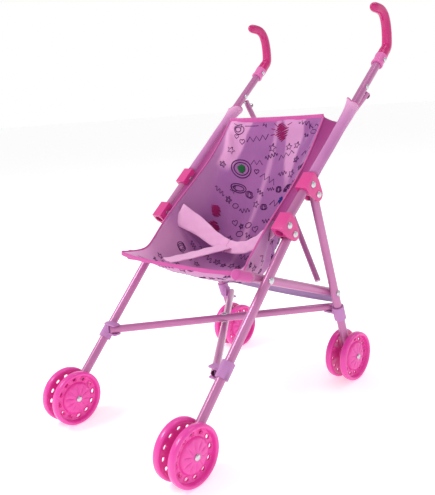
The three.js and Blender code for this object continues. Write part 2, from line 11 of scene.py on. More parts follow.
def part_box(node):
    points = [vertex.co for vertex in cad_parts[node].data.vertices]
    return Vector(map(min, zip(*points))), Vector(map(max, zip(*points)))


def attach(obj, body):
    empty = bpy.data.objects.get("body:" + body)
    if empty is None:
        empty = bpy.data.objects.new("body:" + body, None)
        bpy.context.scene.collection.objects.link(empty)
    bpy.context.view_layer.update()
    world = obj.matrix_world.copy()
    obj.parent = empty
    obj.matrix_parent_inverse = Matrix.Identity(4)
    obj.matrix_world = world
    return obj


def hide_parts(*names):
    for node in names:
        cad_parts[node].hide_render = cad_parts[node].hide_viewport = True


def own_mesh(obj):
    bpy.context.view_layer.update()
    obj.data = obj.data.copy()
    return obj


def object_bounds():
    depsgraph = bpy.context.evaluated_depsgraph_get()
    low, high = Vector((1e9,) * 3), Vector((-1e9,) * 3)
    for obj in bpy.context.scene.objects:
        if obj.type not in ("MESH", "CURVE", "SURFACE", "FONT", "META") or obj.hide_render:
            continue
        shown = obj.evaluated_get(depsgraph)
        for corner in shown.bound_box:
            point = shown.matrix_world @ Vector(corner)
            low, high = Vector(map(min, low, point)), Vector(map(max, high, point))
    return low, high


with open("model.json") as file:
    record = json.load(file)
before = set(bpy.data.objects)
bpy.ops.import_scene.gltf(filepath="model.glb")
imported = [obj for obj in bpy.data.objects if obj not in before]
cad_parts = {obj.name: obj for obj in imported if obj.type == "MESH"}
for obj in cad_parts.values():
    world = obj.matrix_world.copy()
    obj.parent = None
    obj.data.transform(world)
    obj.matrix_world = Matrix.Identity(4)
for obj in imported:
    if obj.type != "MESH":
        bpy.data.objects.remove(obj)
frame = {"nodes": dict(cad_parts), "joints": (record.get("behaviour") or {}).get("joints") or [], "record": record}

cad_low, cad_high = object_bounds()
MM = 0.001
SIDES = (("left", 1), ("right", -1))
JOINTS = {joint["name"]: joint for joint in frame["joints"]}


# ---------------- places, from the frame
def box_mid(node):
    low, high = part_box(node)
    return (Vector(low) + Vector(high)) / 2


def tube_axis(node, way):
    """The two ends of a straight tube's middle line, in order along the direction way."""
    mesh = frame["nodes"][node].data
    points = np.array([v.co[:] for v in mesh.vertices])
    guess = np.array(way, float)
    for _ in range(3):
        along = points @ guess
        near = points[along < along.min() + 0.002].mean(axis=0)
        far = points[along > along.max() - 0.002].mean(axis=0)
        guess = (far - near) / np.linalg.norm(far - near)
    return Vector(near), Vector(far)


ORIGIN_Y = box_mid("axle_front_left").y          # the side view's y = 0 is the front axle
SIDE_X = box_mid("handle_tube_left").x
handle_low, handle_top = tube_axis("handle_tube_left", (0, 0.77, 0.64))
handle_way = (handle_top - handle_low).normalized()
brace_back = Vector(JOINTS["back_brace_front_swing"]["axis"])

# Sizes in mm. Those along the handle are measured from its tube's lower end.
TUBE_D = 12.5                                    # handle tubes, legs and rails
BAR_D = 11                                       # crossed lower bars
BRACE_D = 9                                      # crossed back braces
BRACE_STANDOFF = 11.8                            # brace's middle line, off the handle's at the top
BRACE_PIN_AT = 275
SOCKET_AT = 325
GRIP_PIN_AT = 336
GRIP_AT = 344.3
SLEEVE_FROM, SLEEVE_TO = 97, 246
CLOTH = 0.7                                      # thickness of the seat, strips and sleeves
STRAP_THICK = 1.1
REAR_STRAP_WIDE = 18
REAR_STRAP_REACH = 111                           # from the middle to either end


def side(x, y, z):
    """A point from millimetres: across, behind the front axle, and above the floor."""
    return Vector((x * MM, y * MM + ORIGIN_Y, z * MM))


def on_handle(distance, x=None):
    """A point on the left handle tube, that far in mm above its lower end."""
    point = handle_low + handle_way * distance * MM
    return point if x is None else Vector((x, point.y, point.z))


# ---------------- materials
def srgb(code):
    values = [int(code[i:i + 2], 16) / 255 for i in (0, 2, 4)]
    return tuple(v / 12.92 if v <= 0.04045 else ((v + 0.055) / 1.055) ** 2.4 for v in values) + (1.0,)


def material(name, base, shade, rough=0.4, metallic=0.0, coat=0.0, sheen=0.0, grain=900.0, bump=0.05,
             blotch=14.0, amount=0.5, specular=0.5):
    """A surface with two close colours in soft blotches, and a fine bump."""
    mat = bpy.data.materials.new(name)
    mat.use_nodes = True
    nodes, links = mat.node_tree.nodes, mat.node_tree.links
    shader = nodes["Principled BSDF"]
    shader.inputs["Metallic"].default_value = metallic
    shader.inputs["Coat Weight"].default_value = coat
    shader.inputs["Coat Roughness"].default_value = 0.12
    shader.inputs["Sheen Weight"].default_value = sheen
    shader.inputs["Sheen Roughness"].default_value = 0.45
    shader.inputs["Specular IOR Level"].default_value = specular
    place = nodes.new("ShaderNodeTexCoord")
    clouds = nodes.new("ShaderNodeTexNoise")
    clouds.inputs["Scale"].default_value = blotch
    clouds.inputs["Detail"].default_value = 4.0
    links.new(place.outputs["Object"], clouds.inputs["Vector"])
    ramp = nodes.new("ShaderNodeMapRange")
    ramp.inputs["From Min"].default_value = 0.35
    ramp.inputs["From Max"].default_value = 0.68
    ramp.inputs["To Max"].default_value = amount
    links.new(clouds.outputs["Fac"], ramp.inputs["Value"])
    mix = nodes.new("ShaderNodeMix")
    mix.data_type = "RGBA"
    mix.inputs[6].default_value = srgb(base)
    mix.inputs[7].default_value = srgb(shade)
    links.new(ramp.outputs["Result"], mix.inputs[0])
    links.new(mix.outputs[2], shader.inputs["Base Color"])
    rough_map = nodes.new("ShaderNodeMapRange")
    rough_map.inputs["To Min"].default_value = rough * 0.85
    rough_map.inputs["To Max"].default_value = min(1.0, rough * 1.2)
    links.new(clouds.outputs["Fac"], rough_map.inputs["Value"])
    links.new(rough_map.outputs["Result"], shader.inputs["Roughness"])
    fine = nodes.new("ShaderNodeTexNoise")
    fine.inputs["Scale"].default_value = grain
    fine.inputs["Detail"].default_value = 2.0
    links.new(place.outputs["Object"], fine.inputs["Vector"])
    height = nodes.new("ShaderNodeBump")
    height.inputs["Strength"].default_value = bump
    height.inputs["Distance"].default_value = 0.0004
    links.new(fine.outputs["Fac"], height.inputs["Height"])
    links.new(height.outputs["Normal"], shader.inputs["Normal"])
    return mat


def fabric_material(name, base, shade, alpha=1.0):
    """Thin woven cloth: fine crossed threads and soft blotches. Its paler tint of painted light is added later,
    for the seat and sleeve cloth only.
    """
    mat = material(name, base, shade, rough=0.78, sheen=0.35, bump=0.1, blotch=22.0, amount=0.45,
                   specular=0.25)
    nodes, links = mat.node_tree.nodes, mat.node_tree.links
    shader = nodes["Principled BSDF"]
    shader.inputs["Alpha"].default_value = alpha
    place = next(n for n in nodes if n.bl_idname == "ShaderNodeTexCoord")
    height = next(n for n in nodes if n.bl_idname == "ShaderNodeBump")
    threads = []
    for way in ("X", "Z"):
        wave = nodes.new("ShaderNodeTexWave")
        wave.bands_direction = way
        wave.inputs["Scale"].default_value = 420.0
        wave.inputs["Distortion"].default_value = 0.4
        links.new(place.outputs["Object"], wave.inputs["Vector"])
        threads.append(wave)
    weave = nodes.new("ShaderNodeMath")
    weave.operation = "MULTIPLY"
    links.new(threads[0].outputs["Fac"], weave.inputs[0])
    links.new(threads[1].outputs["Fac"], weave.inputs[1])
    links.new(weave.outputs[0], height.inputs["Height"])
    height.inputs["Strength"].default_value = 0.25
    return mat


def painted_light_by_attribute(mat, painted_light):
    """Lets a mesh's attribute of painted light turn the cloth towards a paler, lit colour."""
    nodes, links = mat.node_tree.nodes, mat.node_tree.links
    shader = nodes["Principled BSDF"]
    source = shader.inputs["Base Color"].links[0].from_socket
    painted_light_amount = nodes.new("ShaderNodeAttribute")
    painted_light_amount.attribute_name = "painted_light_amount"
    mix = nodes.new("ShaderNodeMix")
    mix.data_type = "RGBA"
    mix.inputs[7].default_value = srgb(painted_light)
    links.new(painted_light_amount.outputs["Fac"], mix.inputs[0])
    links.new(source, mix.inputs[6])
    links.new(mix.outputs[2], shader.inputs["Base Color"])


LOOK = {
    "tube": material("tube_paint", "C678AC", "B2669A", rough=0.3, metallic=0.2, coat=0.5, blotch=9.0,
                     amount=0.8),
    "bracket": material("bracket_plastic", "DC3A90", "CC2E82", rough=0.3, coat=0.3),
    "socket": material("socket_plastic", "E070B4", "D664A8", rough=0.32, coat=0.25),
    "grip": material("grip_plastic", "C80E74", "B40A64", rough=0.25, coat=0.2),
    "wheel": material("wheel_plastic", "F244B0", "E4329C", rough=0.3, coat=0.35, blotch=20.0),
    "clip": material("clip_plastic", "C282BE", "B070AC", rough=0.42),
    "rivet": material("rivet_steel", "D6D6DA", "B4B4BC", rough=0.24, metallic=1.0, blotch=300.0),
    "binding": fabric_material("binding_cloth", "D25CA6", "BE4896"),
    # Side strips: the seat's cloth in a darker copy, painted shade.
    "shaded_strip": fabric_material("side_strip_painted_shade", "A43A84", "902C74"),
    "strap": fabric_material("strap_cloth", "F0B2DC", "E09CCE"),
    "lavender": fabric_material("rear_strap_cloth", "AC8CB8", "9C7CAC"),
    # Sleeve cloth: the seat's cloth in a lighter copy, painted light where it wraps the tube.
    "sleeve": fabric_material("sleeve_cloth_lit", "C47AB4", "B46CA8"),
    "seat": fabric_material("seat_cloth", "9E5C9E", "B068A8", alpha=0.94),
    "ink": material("print_ink", "4C1454", "401048", rough=0.8, specular=0.2),
    "ink_pink": material("print_pink", "94145C", "841052", rough=0.8, specular=0.2),
    "ink_green": material("print_green", "24643C", "1C5430", rough=0.8, specular=0.2),
    "ink_blue": material("print_blue", "20307C", "1A286C", rough=0.8, specular=0.2),
    "thread": material("stitching", "A84C90", "98407F", rough=0.7, specular=0.2),
}
# Painted light: paler, lit colours for the seat and sleeve cloth, laid on where their mesh attribute says.
painted_light_by_attribute(LOOK["seat"], "E8A4D4")
painted_light_by_attribute(LOOK["sleeve"], "E8A8D4")


# ---------------- making meshes
def piece(name, verts, faces, look, smooth=True, painted_light_amount=None):
    mesh = bpy.data.meshes.new(name)
    mesh.from_pydata([tuple(v) for v in verts], [], faces)
    mesh.validate()
    mesh.materials.append(LOOK[look])
    mesh.polygons.foreach_set("use_smooth", [smooth] * len(mesh.polygons))
    # An optional attribute of painted light, from 0 to 1 per point.
    if painted_light_amount is not None:
        layer = mesh.attributes.new("painted_light_amount", "FLOAT", "POINT")
        layer.data.foreach_set("value", painted_light_amount)
    obj = bpy.data.objects.new(name, mesh)
    bpy.context.scene.collection.objects.link(obj)
    return obj


def apply(obj, kind, **settings):
    """Adds a modifier and applies it at once."""
    modifier = obj.modifiers.new(kind.lower(), kind)
    for key, value in settings.items():
        setattr(modifier, key, value)
    bpy.context.view_layer.objects.active = obj
    bpy.ops.object.modifier_apply(modifier=modifier.name)


def sharpen(obj, degrees=35):
    """Smooth shading that keeps the edges sharper than this."""
    obj.data.set_sharp_from_angle(angle=math.radians(degrees))


def joined(name, objects):
    """One object from several, with the first one's place in the scene."""
    bpy.ops.object.select_all(action="DESELECT")
    for obj in objects:
        obj.select_set(True)
    bpy.context.view_layer.objects.active = objects[0]
    bpy.ops.object.join()
    objects[0].name = name
    return objects[0]


def frame_along(way):
    """Two directions square to way and to each other."""
    way = Vector(way).normalized()
    first = way.cross(Vector((1, 0, 0)))
    if first.length < 0.3:
        first = way.cross(Vector((0, 0, 1)))
    first.normalize()
    return first, way.cross(first).normalized()


def lathe(name, profile, start, way, look, segments=40, ripple=None):
    """Turns (radius, height) points in mm round the axis that runs from start along way.
    A profile that starts and ends on the axis is closed there; any other is closed on itself."""
    way = Vector(way).normalized()
    first, second = frame_along(way)
    verts, faces, rings = [], [], []
    for radius, height in profile:
        if radius < 1e-6:
            rings.append([len(verts)])
            verts.append(start + way * height * MM)
            continue
        rings.append(list(range(len(verts), len(verts) + segments)))
        for k in range(segments):
            turn = 2 * math.pi * k / segments
            rise = ripple(radius, height, turn) if ripple else 0
            verts.append(start + way * (height + rise) * MM
                         + (first * math.cos(turn) + second * math.sin(turn)) * radius * MM)
    open_profile = len(rings[0]) == 1
    for i in range(len(rings) - (1 if open_profile else 0)):
        a, b = rings[i], rings[(i + 1) % len(rings)]
        for k in range(segments):
            n = (k + 1) % segments
            if len(a) == 1:
                faces.append((a[0], b[n], b[k]))
            elif len(b) == 1:
                faces.append((a[k], a[n], b[0]))
            else:
                faces.append((a[k], a[n], b[n], b[k]))
    return turned_out(piece(name, verts, faces, look))


def turned_out(obj):
    """Turns every face of a closed mesh outwards."""
    work = bmesh.new()
    work.from_mesh(obj.data)
    bmesh.ops.recalc_face_normals(work, faces=work.faces)
    work.to_mesh(obj.data)
    work.free()
    return obj


def tube_profile(length, radius, wall=1.0, lip=0.4):
    """A hollow tube with slightly rounded lips, as a closed profile."""
    return [(radius - wall, 0), (radius - lip, 0), (radius, lip), (radius, length - lip),
            (radius - lip, length), (radius - wall, length)]


def curve_through(p0, p1, p2, p3, t):
    """The Catmull-Rom curve's point between p1 and p2, at t from 0 to 1."""
    return 0.5 * (2 * p1 + (p2 - p0) * t + (2 * p0 - 5 * p1 + 4 * p2 - p3) * t * t
                  + (3 * p1 - p0 - 3 * p2 + p3) * t ** 3)


def smooth_path(points, steps):
    """A Catmull-Rom curve through the points, with that many steps between each pair."""
    points = [Vector(p) for p in points]
    ends = [points[0] * 2 - points[1]] + points + [points[-1] * 2 - points[-2]]
    path = []
    for i in range(1, len(ends) - 2):
        path += [curve_through(*ends[i - 1:i + 3], k / steps) for k in range(steps)]
    path.append(points[-1])
    return path


def sweep(name, path, section, look):
    """Sweeps section(i, share) = a list of (a, b) offsets in metres along a path, with closed ends."""
    verts, faces = [], []
    count = len(section(0, 0.0))
    normal = frame_along(path[1] - path[0])[0]
    for i, point in enumerate(path):
        way = (path[min(i + 1, len(path) - 1)] - path[max(i - 1, 0)]).normalized()
        normal = (normal - way * normal.dot(way)).normalized()
        other = way.cross(normal)
        for a, b in section(i, i / (len(path) - 1)):
            verts.append(point + normal * a + other * b)
    for i in range(len(path) - 1):
        for k in range(count):
            n = (k + 1) % count
            faces.append((i * count + k, i * count + n, (i + 1) * count + n, (i + 1) * count + k))
    faces.append(tuple(range(count - 1, -1, -1)))
    faces.append(tuple((len(path) - 1) * count + k for k in range(count)))
    return turned_out(piece(name, verts, faces, look))


def circle(radius, sides=12):
    return [(radius * math.cos(2 * math.pi * k / sides), radius * math.sin(2 * math.pi * k / sides))
            for k in range(sides)]


def ring_of(name, loop, radius, look, sides=8):
    """A thin closed ring along a flat loop of points."""
    verts, faces = [], []
    centre = sum(loop, Vector()) / len(loop)
    for p in loop:
        out = (p - centre).normalized()
        for a, b in circle(radius, sides):
            verts.append(p + out * a + Vector((0, 0, b)))
    for i in range(len(loop)):
        j = (i + 1) % len(loop)
        for k in range(sides):
            n = (k + 1) % sides
            faces.append((i * sides + k, i * sides + n, j * sides + n, j * sides + k))
    return turned_out(piece(name, verts, faces, look))


def pipe(name, path, radius, look, sides=12):
    return sweep(name, path, lambda i, share: circle(radius, sides), look)


def thick_sheet(name, grid, thickness, look, painted_light_amount=None):
    """A closed sheet from a grid of points, rows by columns, as thick as given."""
    points = np.array([[p[:] for p in row] for row in grid])
    across = np.gradient(points, axis=1)
    down = np.gradient(points, axis=0)
    normals = np.cross(across, down)
    normals /= np.maximum(np.linalg.norm(normals, axis=2, keepdims=True), 1e-12)
    rows, columns = points.shape[:2]
    front = (points + normals * thickness / 2).reshape(-1, 3)
    rear = (points - normals * thickness / 2).reshape(-1, 3)
    size = rows * columns
    faces = []
    for r in range(rows - 1):
        for c in range(columns - 1):
            a = r * columns + c
            quad = (a, a + 1, a + columns + 1, a + columns)
            faces.append(quad)
            faces.append(tuple(size + q for q in reversed(quad)))
    edge = ([c for c in range(columns)] + [r * columns + columns - 1 for r in range(1, rows)]
            + [(rows - 1) * columns + c for c in range(columns - 2, -1, -1)]
            + [r * columns for r in range(rows - 2, 0, -1)])
    for k, a in enumerate(edge):
        b = edge[(k + 1) % len(edge)]
        faces.append((b, a, size + a, size + b))
    both = None if painted_light_amount is None else list(painted_light_amount) + list(painted_light_amount)
    return turned_out(piece(name, np.vstack([front, rear]), faces, look, painted_light_amount=both))


def softened(node, look, width, segments=2):
    """The CAD node's own shape, with its edges rounded."""
    obj = frame["nodes"][node].copy()
    obj.data = frame["nodes"][node].data.copy()
    obj.parent = None
    obj.matrix_world = Matrix.Identity(4)
    obj.name = node + "_shell"
    bpy.context.scene.collection.objects.link(obj)
    obj.data.materials.clear()
    obj.data.materials.append(LOOK[look])
    apply(obj, "WELD", merge_threshold=2e-6)
    apply(obj, "DECIMATE", decimate_type="DISSOLVE", angle_limit=math.radians(2))
    apply(obj, "BEVEL", width=width * MM, segments=segments, limit_method="ANGLE",
          angle_limit=math.radians(38), use_clamp_overlap=True)
    obj.data.polygons.foreach_set("use_smooth", [True] * len(obj.data.polygons))
    sharpen(obj, 30)
    return obj


def stands_for(obj, node):
    """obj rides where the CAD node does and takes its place."""
    body = next(name for name, nodes in frame["record"]["behaviour"]["bodies"].items() if node in nodes)
    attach(obj, body)
    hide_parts(node)


def added(obj, body):
    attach(obj, body)


def fold_with(obj):
    """Gives a soft piece between the two sides a mesh of its own."""
    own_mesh(obj)


# ---------------- camera
def camera():
    data = bpy.data.cameras.new("camera")
    data.sensor_fit = "HORIZONTAL"
    data.sensor_width = 36.0
    data.lens = 50.2
    data.shift_x = 0.0155
    data.shift_y = -0.0194
    data.clip_start = 0.01
    obj = bpy.data.objects.new("camera", data)
    bpy.context.scene.collection.objects.link(obj)
    azimuth, elevation, roll = math.radians(44.7), math.radians(12.1), math.radians(-3.7)
    back = Vector((math.sin(azimuth) * math.cos(elevation), -math.cos(azimuth) * math.cos(elevation),
                   math.sin(elevation)))
    right = Vector((math.cos(azimuth), math.sin(azimuth), 0))
    up = back.cross(right)
    right, up = (right * math.cos(roll) + up * math.sin(roll), up * math.cos(roll) - right * math.sin(roll))
    turn = Matrix((right, up, back)).transposed().to_4x4()
    obj.matrix_world = Matrix.Translation(side(596.5, -421, 424.5)) @ turn
    bpy.context.scene.camera = obj


# ---------------- tubes
def straight_tube(node, way, diameter):
    start, end = tube_axis(node, way)
    length = (end - start).length / MM
    obj = lathe(node + "_tube", tube_profile(length, diameter / 2), start, end - start, "tube",
                segments=32)
    sharpen(obj)
    stands_for(obj, node)


def rail_pocket(which):
    """The cloth pocket at the seat's front corner, pulled over the rail's end."""
    end, start = tube_axis(f"seat_rail_{which}", (0, 0.93, -0.36))
    profile = [(0, -1.6), (4.0, -1.5), (6.2, -0.9), (7.2, 0.4), (7.3, 3), (7.0, 12), (7.2, 22), (7.6, 30),
               (7.0, 30), (6.7, 22), (6.5, 12), (6.5, 0.4), (0, 0.2)]
    pocket = lathe(f"rail_pocket_{which}", profile, end, start - end, "binding", segments=32)
    added(pocket, f"{which}_side")


def bent_brace(node, foot_side):
    """A back brace, straight but for its top end, which bends in to meet the handle tube."""
    foot, top = tube_axis(node, (foot_side, 0.25, 0.9))
    line = (top - foot).normalized()
    length = (top - foot).length
    pivot = Vector(JOINTS[node + "_swing"]["pos_m"])
    handle_point = on_handle(0, pivot.x)
    nearest = handle_point + handle_way * (pivot - handle_point).dot(handle_way)
    gap = (pivot - nearest).dot(brace_back)
    bend_in = -brace_back * max(0.0, gap - BRACE_STANDOFF * MM)
    path = [foot + line * length * k / 10 for k in range(9)]
    for share, bent in ((0.86, 0.05), (0.92, 0.45), (0.965, 0.9)):
        path.append(foot + line * length * share + bend_in * bent)
    path.append(top + bend_in)
    obj = pipe(node + "_tube", smooth_path(path, 5), BRACE_D / 2 * MM, "tube", sides=24)
    sharpen(obj)
    stands_for(obj, node)


def frame_tubes():
    for which, _ in SIDES:
        straight_tube(f"handle_tube_{which}", (0, 0.77, 0.64), TUBE_D)
        straight_tube(f"front_leg_{which}", (0, 0.7, 0.72), TUBE_D)
        straight_tube(f"rear_leg_{which}", (0, -0.3, 0.95), TUBE_D)
        straight_tube(f"seat_rail_{which}", (0, 0.93, -0.36), TUBE_D)
        rail_pocket(which)
    straight_tube("lower_bar_low", (-0.6, 0.78, 0), BAR_D)
    straight_tube("lower_bar_high", (0.6, 0.78, 0), BAR_D)
    bent_brace("back_brace_front", 0.59)
    bent_brace("back_brace_rear", -0.59)


# ---------------- rivets
RIVET_HEAD_R, RIVET_HEAD_H = 4.7, 2.6
RIVET_TAIL_R, RIVET_TAIL_H = 3.4, 1.1
RIVET_SHANK_R = 1.8


def dome_profile(head_r, head_h, shank_r, grip, tail_r=RIVET_TAIL_R, tail_h=RIVET_TAIL_H):
    """A domed head, a shank as long as grip, and a flat tail. The head's underside is at 0."""
    dome = [(head_r * math.cos(a), -head_h * math.sin(a))
            for a in (math.radians(t) for t in (90, 72, 54, 38, 22, 8))]
    dome[0] = (0.0, -head_h)
    return dome + [(head_r, 0), (shank_r, 0.05), (shank_r, grip), (tail_r, grip),
                   (tail_r, grip + tail_h * 0.6), (tail_r * 0.8, grip + tail_h), (0, grip + tail_h)]


def rivet(node, way):
    """A smooth rivet on the CAD one's line. way points from its head to its tail."""
    way = Vector(way).normalized()
    points = [v.co for v in frame["nodes"][node].data.vertices]
    low = min(p.dot(way) for p in points)
    high = max(p.dot(way) for p in points)
    mid = sum(points, Vector()) / len(points)
    start = mid + way * (low - mid.dot(way))
    grip = (high - low) / MM - RIVET_HEAD_H - RIVET_TAIL_H
    profile = dome_profile(RIVET_HEAD_R, RIVET_HEAD_H, RIVET_SHANK_R, grip)
    obj = lathe(node + "_smooth", profile, start + way * RIVET_HEAD_H * MM, way, "rivet", 28)
    sharpen(obj)
    stands_for(obj, node)


def loose_rivet(name, place, way, body, radius):
    """A small rivet head that the CAD leaves out, seated on a tube or a shell."""
    profile = dome_profile(radius, 1.9, radius * 0.5, 0.6, radius * 0.5, 0.3)
    obj = lathe(name, profile, place, way, "rivet", 28)
    sharpen(obj)
    added(obj, body)


def rivets():
    for which, s in SIDES:
        for name in ("lower_bracket_rivet_front", "lower_bracket_rivet_leg", "upper_bracket_rivet_tube",
                     "upper_bracket_rivet_leg", "rail_rivet_front", "rail_rivet_rear"):
            rivet(f"{name}_{which}", (-s, 0, 0))
        rivet(f"brace_top_rivet_{which}", -brace_back)
        for name, at, reach, radius in (("brace_pin_head", BRACE_PIN_AT, 6.2, 3.6),
                                        ("grip_pin_head", GRIP_PIN_AT, 9.3, 3.2)):
            spot = on_handle(at, s * SIDE_X) + Vector((reach * MM, 0, 0))
            loose_rivet(f"{name}_{which}", spot, Vector((-1, 0, 0)), f"{which}_side", radius)
    rivet("lower_bar_rivet", (0, 0, -1))
    rivet("back_brace_rivet", brace_back)


# ---------------- brackets and clips
def plastic_fittings():
    for which, _ in SIDES:
        for name in (f"lower_bracket_{which}", f"upper_bracket_{which}"):
            stands_for(softened(name, "bracket", 1.7, 4), name)
        for name in (f"front_clip_{which}", f"rear_clip_{which}"):
            stands_for(softened(name, "clip", 0.5), name)


# ---------------- wheels
HOLES = 12
HOLE_RING = 27.0                                 # radius of the ring of holes
HOLE_HALF = (2.3, 3.3)                           # a hole's half size, outwards and round the axis
RIM_HALF = (3.0, 4.0)                            # the same for the middle line of its raised rim
RIM_HEIGHT = 4.2
RIM_R = 0.75
DISC_PROFILE = [(3.0, 0.4), (8.6, 0.4), (9.2, 1.0), (9.6, 2.2), (31.0, 2.2), (32.2, 1.6), (32.8, 0.5),
                (33.8, 0),
                (36.4, 0.3), (37.5, 1.2), (38.0, 2.8), (38.0, 6.6), (37.7, 8.4), (36.9, 9.7), (35.6, 10.5),
                (34.2, 10.5), (33.0, 9.8), (32.4, 8.4), (32.0, 5.6), (31.4, 4.4), (30.4, 4.1), (24.0, 4.1),
                (22.8, 4.4), (22.0, 5.6), (21.2, 6.9), (19.6, 7.6), (17.0, 8.1), (14.0, 8.5), (11.0, 8.8),
                (8.0, 9.1), (6.2, 9.6), (4.6, 9.9), (3.0, 9.9)]


def petals(radius, height, turn):
    """Raises ten petals round the hub on the disc's outer face, with grooves between them."""
    if height < 6.5 or radius > 21.5 or radius < 6:
        return 0.0
    rise = math.sin(math.pi * (radius - 6) / 15.5)
    return 1.5 * rise * (abs(math.cos(5 * turn)) ** 0.6 - 0.75)


def hole_ways(k):
    """The directions outwards from the axis and round it, at hole k."""
    turn = 2 * math.pi * k / HOLES
    return Vector((math.cos(turn), math.sin(turn), 0)), Vector((-math.sin(turn), math.cos(turn), 0))


def wheel_disc():
    """One disc, on the Z axis with its inner face at 0, with its ring of oval holes."""
    disc = lathe("wheel_disc", DISC_PROFILE, Vector(), (0, 0, 1), "wheel", segments=120, ripple=petals)
    cutters = []
    for k in range(HOLES):
        radial, around = hole_ways(k)
        centre = radial * HOLE_RING * MM
        ring = [radial * HOLE_HALF[0] * MM * math.cos(a) + around * HOLE_HALF[1] * MM * math.sin(a)
                for a in (2 * math.pi * j / 18 for j in range(18))]
        verts = [centre + p + Vector((0, 0, height)) for height in (-0.01, 0.03) for p in ring]
        faces = [(j, (j + 1) % 18, 18 + (j + 1) % 18, 18 + j) for j in range(18)]
        faces += [tuple(range(17, -1, -1)), tuple(range(18, 36))]
        cutters.append(turned_out(piece(f"cut_{k}", verts, faces, "wheel")))
    cutter = joined("cutter", cutters)
    apply(disc, "BOOLEAN", operation="DIFFERENCE", object=cutter, solver="EXACT")
    bpy.data.objects.remove(cutter)
    rims = []
    for k in range(HOLES):
        radial, around = hole_ways(k)
        ring = [radial * (HOLE_RING + RIM_HALF[0] * math.cos(a)) * MM
                + around * RIM_HALF[1] * MM * math.sin(a) + Vector((0, 0, RIM_HEIGHT * MM))
                for a in (2 * math.pi * j / 24 for j in range(24))]
        rims.append(ring_of(f"rim_{k}", ring, RIM_R * MM, "wheel"))
    disc = joined("wheel_disc", [disc] + rims)
    sharpen(disc, 40)
    return disc


def wheels():
    master = wheel_disc()
    for end in ("front", "rear"):
        for which, s in SIDES:
            axle = box_mid(f"axle_{end}_{which}")
            for place, way in (("outer", s), ("inner", -s)):
                node = f"wheel_{end}_{which}_{place}"
                obj = master.copy()
                obj.data = master.data.copy()
                obj.name = node + "_disc"
                bpy.context.scene.collection.objects.link(obj)
                low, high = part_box(node)
                inner_face = low[0] if way > 0 else high[0]
                turn = Matrix.Rotation(math.radians(90 * way), 4, "Y")
                obj.data.transform(Matrix.Translation((inner_face, axle.y, axle.z)) @ turn)
                stands_for(obj, node)
            low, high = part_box(f"axle_{end}_{which}")
            half = (high[0] - low[0]) / 2 / MM
            profile = [(0, -half), (2.6, -half), (3.6, -half + 0.5), (4.1, -half + 1.4), (4.0, -half + 2.1),
                       (2.5, -half + 2.1), (2.5, half - 2.1), (4.0, half - 2.1), (4.1, half - 1.4),
                       (3.6, half - 0.5), (2.6, half), (0, half)]
            pin = lathe(f"axle_{end}_{which}_pin", profile, axle, (1, 0, 0), "rivet", 28)
            sharpen(pin)
            stands_for(pin, f"axle_{end}_{which}")
    bpy.data.objects.remove(master)


# ---------------- grips
# The grip's middle line, in mm behind and above its root.
GRIP_LINE = [(0, 0), (7, 6), (17, 18.5), (14, 49.5), (1, 66.5), (-29, 71.5)]


def grips():
    for which, s in SIDES:
        start = on_handle(SOCKET_AT, s * SIDE_X)
        socket_profile = [(6.5, 0), (8.7, 0.0), (9.3, 0.8), (9.3, 3.4), (8.6, 4.2), (8.5, 7.0), (8.8, 12.0),
                          (9.4, 17.0), (9.4, 19.0), (6.5, 19.0)]
        socket = lathe(f"handle_socket_{which}_collar", socket_profile, start, handle_way, "socket", 40)
        sharpen(socket)
        stands_for(socket, f"handle_socket_{which}")
        root = on_handle(GRIP_AT, s * SIDE_X)
        path = smooth_path([root + Vector((0, y * MM, z * MM)) for y, z in GRIP_LINE], 12)

        def section(i, share):
            tip = max(0.0, (share - 0.93) / 0.07)
            radius = (9.4 - 2.3 * share) * math.sqrt(max(0.02, 1 - 0.93 * tip * tip))
            ring = []
            for k in range(32):
                turn = 2 * math.pi * k / 32
                rib = 0.55 * math.exp(-(math.sin(turn) / 0.13) ** 2)
                cross = sum(0.45 * math.exp(-((share - at) / 0.006) ** 2) for at in (0.3, 0.5, 0.72))
                band = cross * max(0.0, math.cos(turn * 2)) ** 2
                r = radius * (0.93 + 0.07 * abs(math.sin(turn))) + (rib + band) * (1 - tip)
                ring.append((math.sin(turn) * r * MM, math.cos(turn) * r * 0.92 * MM))
            return ring

        grip = sweep(f"handle_grip_{which}_shell", path, section, "grip")
        sharpen(grip, 60)
        stands_for(grip, f"handle_grip_{which}")


# ---------------- seat
# Rows of the seat, from the top hem to the front hem, in mm behind the front axle and above
# the floor: the bound edge, the middle line, half the width between the bound edges, and how
# square the hollow is.
SEAT_ROWS = [
    ((338, 403), (340, 402), 91, 2.0),
    ((313, 372), (328, 352), 92, 2.2),
    ((284, 342), (310, 300), 94, 2.6),
    ((249, 313), (287, 250), 96, 3.0),
    ((213, 286), (262, 206), 97, 3.6),
    ((190, 268), (238, 184), 97, 4.2),
    ((172, 252), (205, 178), 97, 4.6),
    ((156, 237), (168, 188), 97, 4.6),
    ((141, 226), (134, 204), 97, 4.0),
    ((119, 224), (112, 221), 99, 3.0),
]
FRONT_SHEAR = 21                                 # left front corner this far back, right one forward
# Where the folds fan out from: u, v, how many folds, and their height in mm.
FOLD_SOURCES = ((-1.05, 0.02, 7, 2.6), (1.05, 0.02, 8, 2.6), (1.0, 0.52, 7, 2.2), (-1.0, 0.52, 7, 2.2))


def row_value(v):
    """Edge, middle, half width and squareness at v, from 0 at the top hem to 1 at the front."""
    place = min(max(v, 0.0), 1.0) * (len(SEAT_ROWS) - 1)
    i = min(int(place), len(SEAT_ROWS) - 2)
    t = place - i
    rows = [SEAT_ROWS[min(max(i + k, 0), len(SEAT_ROWS) - 1)] for k in (-1, 0, 1, 2)]
    return curve_through(*(np.array([*r[0], *r[1], r[2], r[3]], float) for r in rows), t)


